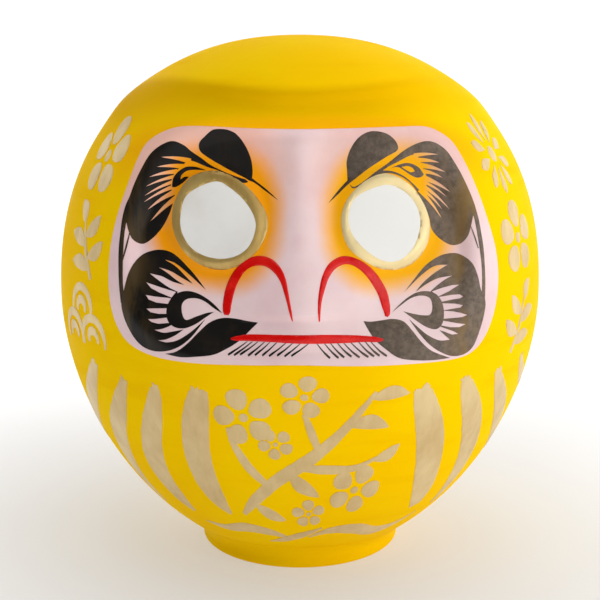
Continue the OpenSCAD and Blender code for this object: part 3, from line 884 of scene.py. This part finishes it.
# Chin hairs, each from its blunt lower end to its fine upper end
hairs_left = [(-38.2, -27.9), (-35, -25.2), (-31.8, -22.3), (-27.5, -18.8), (-23.9, -15.9), (-20, -12.3),
    (-16.4, -7.4), (-12.1, -3.8), (-8.2, 0.4), (-4.6, 4.8)]
hairs_right = [(15.9, 8.6), (20.4, 12.5), (23.4, 15.7), (27.3, 19.3), (31.6, 22.5), (36.3, 26.4),
    (39.3, 30.7), (42.3, 34.3), (46.1, 37.1)]
HAIR_TOP, HAIR_FOOT = 161.6, 154.6
hair_rng = random.Random(7)
for word, hairs, lower, sag in (("left", hairs_left, 0, -0.35), ("right", hairs_right, 0.9, -0.8)):
    loops = []
    for low, high in hairs:
        foot_z = HAIR_FOOT + hair_rng.uniform(-0.3, 0.3) - lower
        rise = HAIR_TOP - foot_z
        line = [(low, foot_z, 0.9), (low + 0.2 * (high - low), foot_z + 0.2 * rise + 0.6 * sag, 1.05),
                (low + 0.5 * (high - low), foot_z + 0.5 * rise + sag, 0.8), (high, HAIR_TOP, 0.35)]
        loops.append(ribbon_loop(line))
    strokes(f"chin_hairs_{word}", loops, at_face, INK_ON, BLACK, step=1.0)

nostril_left = [(-39.3, 174.2, 2.2), (-39.2, 176, 4.0), (-38.9, 180, 4.7), (-37.6, 186.5, 5.0),
    (-35.3, 192.5, 4.8), (-31.8, 198, 4.6), (-27.2, 201.8, 4.7), (-21.7, 203.2, 4.8), (-16.5, 202.4, 4.9),
    (-12, 199, 4.4), (-9, 194, 3.2), (-7.3, 188, 2.3), (-6, 182.5, 1.7), (-4.9, 177.5, 1.3),
    (-3.9, 172.8, 0.4)]
nostril_right = [(46.2, 173.2, 1.8), (46.7, 175, 3.2), (46, 179, 4.5), (44.4, 184.8, 5.0),
    (41.8, 189.8, 5.0), (38, 195.3, 4.9), (33.4, 199.8, 4.6), (27.8, 202.8, 4.2), (22.3, 203.2, 4.3),
    (17, 200.6, 4.3), (13.5, 195.4, 3.6), (11.7, 189.5, 2.9), (10.5, 183.5, 2.0), (10.1, 178, 1.4),
    (10.2, 172.3, 0.7)]
mouth = [(-37.1, 162.5, 0.8), (-34, 162.8, 2.4), (-28, 163.4, 3.2), (-15, 163.6, 3.7), (0, 163.5, 4.3),
    (12, 163.3, 4.4), (24, 162.9, 4.0), (34, 162.6, 3.1), (41, 162, 2.5), (45.6, 161.7, 0.8)]
for name, line in (("nostril_left", nostril_left), ("nostril_right", nostril_right), ("mouth", mouth)):
    film(name, [ribbon_loop(line)], at_face, RED_ON, RED, step=1.0)

# ---- gold on the robe
GOLD_ON = (0, 0.3)
SLOW_SHAKE, FINE_SHAKE = 0.35, 0.1


def ragged(loop, seed, reach):
    """The same outline with the uneven edge that brush hairs leave, stronger where reach says."""
    rng = random.Random(seed)
    loop = resample(np.asarray(loop, float), 1.0)
    way = np.roll(loop, -1, 0) - np.roll(loop, 1, 0)
    out = unit(np.stack([way[:, 1], -way[:, 0]], -1))
    shake = np.array([rng.uniform(-1, 1) for _ in range(len(loop))])
    slow = sum(np.roll(shake, k) for k in range(-3, 4)) / 7
    amount = np.array([reach(p) for p in loop])
    return loop + out * (SLOW_SHAKE * slow + FINE_SHAKE * shake + amount * shake)[:, None]


def gold_strokes(name, outlines, seed, reach=lambda p: 0.0, step=1.8):
    loops = [ragged(loop, seed + k, reach) for k, loop in enumerate(outlines)]
    strokes(name, loops, at_robe, GOLD_ON, GOLD, step)


ribs = {
    "left": [
        [(-53.5, 134.5, 9), (-56, 127, 14), (-59.5, 115, 17), (-63, 100, 18.5), (-64.5, 84, 19),
         (-63.5, 70, 18), (-60.5, 59, 14), (-55.5, 48.5, 3)],
        [(-83, 133.5, 5), (-85.5, 125, 10), (-91, 112, 14), (-99, 96, 17), (-105, 80, 19.5), (-105, 66, 18),
         (-101, 54, 14), (-96, 44.5, 4)],
        [(-108, 133.5, 5), (-113, 125, 9), (-122, 112, 14), (-133, 98, 17), (-142, 82, 18), (-147, 66, 16),
         (-145, 52, 10), (-140, 43, 3)],
        [(-136, 138.5, 6), (-143, 130, 10), (-154, 118, 14), (-168, 104, 15), (-182, 90, 11),
         (-193, 76, 3)]],
    "right": [
        [(67, 134.5, 9), (70, 127, 14), (76, 114, 18), (83, 98, 20.5), (89, 82, 21), (95, 68, 20),
         (100, 57, 17), (103, 47.5, 10)],
        [(98, 136.5, 6), (103, 127, 12), (112, 113, 16.5), (121, 98, 18.5), (129, 82, 19), (134, 67, 17),
         (136, 54, 12), (134, 43, 4)],
        [(129, 135.5, 5), (135, 126, 10), (146, 113, 14), (158, 99, 15), (169, 86, 11), (177, 74, 3)],
        [(161, 138, 4), (168, 130, 7), (179, 121, 8), (192, 112, 2)]]}
for word, lines in ribs.items():
    for number, line in enumerate(lines, 1):
        top = line[0][1]
        gold_strokes(f"robe_rib_{word}_{number}", [ribbon_loop(line)], 10 * number,
                     lambda p, top=top: 1.2 * float(smooth(top - 5, top + 1, p[1])))


# Generic brush ornaments: a plum branch, blossoms, a daisy, leaf sprays, waves and grass
ROUND = np.linspace(0, math.tau, 18, endpoint=False)


def disc(u, z, r):
    return np.stack([u + r * np.cos(ROUND), z + r * np.sin(ROUND)], -1)


def blossom(u, z, r, turn=0.0):
    """Five petals round a small eye."""
    t = ROUND
    outlines = [disc(u, z, 0.15 * r)]
    for k in range(5):
        a = turn + math.tau * k / 5 + math.pi / 2
        along = 0.64 * r + 0.36 * r * np.cos(t)
        across = 0.34 * r * np.sin(t) * (1 + 0.18 * np.cos(t))
        outlines.append(np.stack([u + along * math.cos(a) - across * math.sin(a),
                                  z + along * math.sin(a) + across * math.cos(a)], -1))
    return outlines


def arc(u, z, r, start, end, width):
    """Brush stroke along part of a circle, in degrees, with tapered ends."""
    t = np.linspace(0, 1, 9)
    a = np.radians(start + (end - start) * t)
    w = width * np.clip(np.sin(np.pi * np.clip(t, 0.04, 0.96)), 0, 1) ** 0.45
    return ribbon_loop(np.stack([u + r * np.cos(a), z + r * np.sin(a), w], -1), per=4)


def waves_motif(u, z, r):
    """Three overlapping round waves."""
    places = ((u, z + 0.30 * r), (u - 0.55 * r, z - 0.42 * r), (u + 0.55 * r, z - 0.42 * r))
    return [arc(a, b, radius * r, 200, -20, 0.22 * r) for a, b in places for radius in (0.54, 0.22)]


def daisy(u, z, r):
    """Ten narrow petals round a wide eye."""
    outlines = [disc(u, z, 0.2 * r)]
    for k in range(10):
        a = math.tau * (k + 0.5) / 10
        near, far = np.array([0.34, 1.0]) * r
        outlines.append(leaf((u + near * math.cos(a), z + near * math.sin(a)),
                             (u + far * math.cos(a), z + far * math.sin(a)), 0.27 * r, fat=0.62))
    return outlines


def spray(u, z, r, hand):
    """A curved stem with five leaves."""
    stem = ribbon_loop([(u - hand * 0.5 * r, z - r, 0.14 * r), (u - hand * 0.1 * r, z - 0.2 * r, 0.16 * r),
                        (u + hand * 0.15 * r, z + 0.5 * r, 0.06 * r)])
    ends = (((-0.4, -0.75), (0.75, -0.62)), ((-0.25, -0.45), (-1.0, 0.05)), ((-0.1, -0.15), (0.95, 0.15)),
            ((0.0, 0.12), (-0.7, 0.72)), ((0.15, 0.45), (0.6, 1.05)))
    return [stem] + [leaf((u + hand * a * r, z + b * r), (u + hand * c * r, z + d * r),
                          0.42 * r, 0.08 * r * hand) for (a, b), (c, d) in ends]


branch = [
    ribbon_loop([(-43, 50, 3), (-33, 60, 7), (-16, 76, 8.5), (4, 92, 8), (22, 110, 6), (40, 134, 2)]),
    ribbon_loop([(-20, 74, 4), (-30, 86, 6), (-37, 100, 4.5), (-40, 112, 2)]),
    ribbon_loop([(-2, 88, 4), (14, 86, 6), (32, 86, 4.5), (46, 92, 2)]),
    ribbon_loop([(10, 98, 3), (6, 110, 4.5), (2, 122, 2)])]
leaves = [leaf(a, b, width, bow) for a, b, width, bow in (
    ((-32, 60), (-10, 46), 9, -2), ((26, 114), (50, 112), 9, 3),
    ((38, 130), (60, 132), 8, 2), ((-6, 84), (12, 66), 9, -2), ((44, 90), (60, 100), 8, -2))]
gold_strokes("blossom_branch", branch, 501)
gold_strokes("branch_leaves", leaves, 521)
for number, (u, z, r, turn) in enumerate(((-30, 119, 17.5, 0.25), (2, 132, 12.5, -0.2), (36, 70, 18, -0.35),
                                          (-13, 103, 10, 0.5), (6, 52, 11.5, 0.1)), 1):
    gold_strokes(f"branch_blossom_{number}", blossom(u, z, r, turn), 530 + number)
grass = [[(-6, 27, 0.8), (-22, 33, 5.5), (-46, 37, 8.5), (-70, 34, 5.5), (-92, 36.5, 0.8)],
         [(8, 30, 0.8), (26, 36, 6.0), (50, 35.5, 9.5), (76, 30, 8), (100, 33, 4), (116, 40, 0.8)],
         [(-30, 24.5, 0.6), (-14, 27, 4.5), (4, 33, 5.5), (18, 39, 0.8)]]
gold_strokes("foot_grass", [ribbon_loop(line) for line in grass], 551)

for word, hand, motifs in (
        ("left", -1, (("blossom", -146, 255, 22), ("spray", -145, 208, 21), ("waves", -146, 162, 23))),
        ("right", 1, (("daisy", 148, 256, 22), ("blossom", 150, 209, 21), ("spray", 151, 163, 20)))):
    for kind, u, z, r in motifs:
        if kind == "spray":
            outlines = spray(u, z, r, hand)
        else:
            outlines = {"blossom": blossom, "daisy": daisy, "waves": waves_motif}[kind](u, z, r)
        gold_strokes(f"side_{kind}_{word}", outlines, 600 + int(z), step=1.5)


# ---- the foot and the pieces inside
FILLET = 6.0
FOOT_COLS = 100     # columns of points round each half of the foot
FOOT_IN = 2.5       # how far the foot's inside reaches behind the wall


def belly(z):
    """Points on the wall all round, level at height z."""
    turns = np.linspace(0, 180, FOOT_COLS + 1)[:-1]
    level = np.full(FOOT_COLS, z)
    return np.vstack([at_turn(turns, level, True), at_turn(180 - turns, level, False)])[:, :2]


def foot_section(base_r, high_r):
    """Radius and height of each ring of points, from the belly down the outside and up the bore."""
    rows = []
    for t in np.linspace(0, 1, 8):
        a, b, c = (1 - t) ** 2, 2 * t * (1 - t), t * t
        rows.append((a * (high_r + 0.1) + b * np.maximum(base_r, FOOT_R - 1) + c * FOOT_R,
                     a * (FOOT_H + FILLET) + b * FOOT_H + c * (FOOT_H - FILLET)))
    edge = np.radians(np.linspace(0, 90, 7))
    rows += [(FOOT_R - FOOT_EDGE * (1 - math.cos(a)), FOOT_EDGE * (1 - math.sin(a))) for a in edge]
    rows += [(FOOT_BORE_R + FOOT_EDGE * (1 - math.sin(a)), FOOT_EDGE * (1 - math.cos(a))) for a in edge]
    return rows + [(FOOT_BORE_R, FOOT_H), (base_r - FOOT_IN, FOOT_H), (high_r - FOOT_IN, FOOT_H + FILLET)]


def foot():
    """The foot ring under its paint, with a soft fillet up to the belly and round lower edges."""
    base = belly(FOOT_H)
    base_r = np.linalg.norm(base, axis=1)
    way = base / base_r[:, None]
    rows = foot_section(base_r, np.linalg.norm(belly(FOOT_H + FILLET), axis=1))
    n = len(base)
    verts = [np.concatenate([way * np.broadcast_to(r, n)[:, None], np.full((n, 1), z)], 1)
             for r, z in rows]
    faces = []
    for i in range(len(rows)):
        here, there = i * n, (i + 1) % len(rows) * n
        faces += rim_faces([here + k for k in range(n)], [there + k for k in range(n)])
    piece = add_piece("foot_ring_skin", np.vstack(verts), faces, ROBE, crease=60)
    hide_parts("foot_ring")


foot()
for node, material in (("seam_strip_left", PAPER), ("seam_strip_right", PAPER),
                       ("seam_strip_crown", PAPER), ("base_board", BOARD), ("base_weight", CLAY),
                       ("weight_bed", PAPER), ("bottom_paper", PAPER)):
    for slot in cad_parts[node].material_slots:
        slot.material = material

# ---- camera, light and floor
# Lamps: name, place, size in metres and watts. Sky lobes: direction, strength, and the cosines of
# the angles from that direction at which the lobe starts and is full
LAMPS = (
    ("front", (0.80, -1.36, 0.55), 0.9, 2.7),
    ("side", (1.25, -0.75, 0.45), 0.9, 4.6),
    ("top", (0.1, -0.35, 1.5), 1.0, 5.6),
)
LAMPS_AIM = (0, 0, 0.17)
CAMERA_PLACE, CAMERA_DOWN, CAMERA_LENS = (0, -0.750, 0.30915), 11.52, 71.3    # metres, degrees, mm
SKY_LOBES = (
    ((0, 1, 0), 1.06, -0.10, 0.25),
    ((0, -1, 0), 0.10, -0.25, 0.10),
    ((1, -0.2, 0), 0.5, 0.2, 0.9),
)
FLOOR_GLOW = (0.38, 0.8)    # how much the floor shines near the doll and away from it
FLOOR_R, FLOOR_SIDES = 8, 64


def add_light(name, place, size, power):
    light = bpy.data.lights.new(name, "AREA")
    light.shape, light.size, light.energy = "SQUARE", size, power
    lamp = show(name, light)
    lamp.location = place
    lamp.rotation_euler = (Vector(LAMPS_AIM) - Vector(place)).to_track_quat("-Z", "Y").to_euler()


camera = show("camera", bpy.data.cameras.new("camera"))
camera.location = CAMERA_PLACE
camera.rotation_euler = (math.radians(90 - CAMERA_DOWN), 0, 0)
camera.data.lens = CAMERA_LENS
camera.data.sensor_width = 36
camera.data.clip_start = 0.05
bpy.context.scene.camera = camera

for lamp in LAMPS:
    add_light(*lamp)


def studio():
    """White surround: each lobe brightens the sky towards one direction."""
    sky = Nodes("studio", bpy.data.worlds, "Background", "Generated")
    bpy.context.scene.world = sky.owner
    total = 0.0
    for way, strength, start, full in SKY_LOBES:
        towards = sky.math("DOT_PRODUCT", sky.where, Vector(way).normalized(),
                           node="VectorMath", result="Value")
        total = sky.math("ADD", total, sky.remap(towards, start, full, 0, strength))
    sky.set(sky.shader, Color=(1, 1, 1, 1), Strength=total)


def pale_floor():
    """White floor that shines a little, more so away from the doll."""
    m = Nodes("floor")
    away = m.math("LENGTH", m.where, node="VectorMath", result="Value")
    colour = m.mix(m.remap(m.noise(3, 2), 0.3, 0.7, 0, 1), srgb(184, 184, 184), srgb(180, 180, 180))
    glow = m.remap(away, 0.12, 0.6, *FLOOR_GLOW)
    m.finish(colour, 0.9, Emission_Strength=glow, Emission_Color=(1, 1, 1, 1))
    turns = np.linspace(0, math.tau, FLOOR_SIDES, endpoint=False)
    mesh = bpy.data.meshes.new("floor")
    mesh.from_pydata([(FLOOR_R * math.cos(a), FLOOR_R * math.sin(a), 0) for a in turns], [],
                     [list(range(FLOOR_SIDES))])
    mesh.materials.append(m.owner)
    show("floor", mesh)


studio()
pale_floor()
bpy.context.scene.view_settings.view_transform = "Standard"
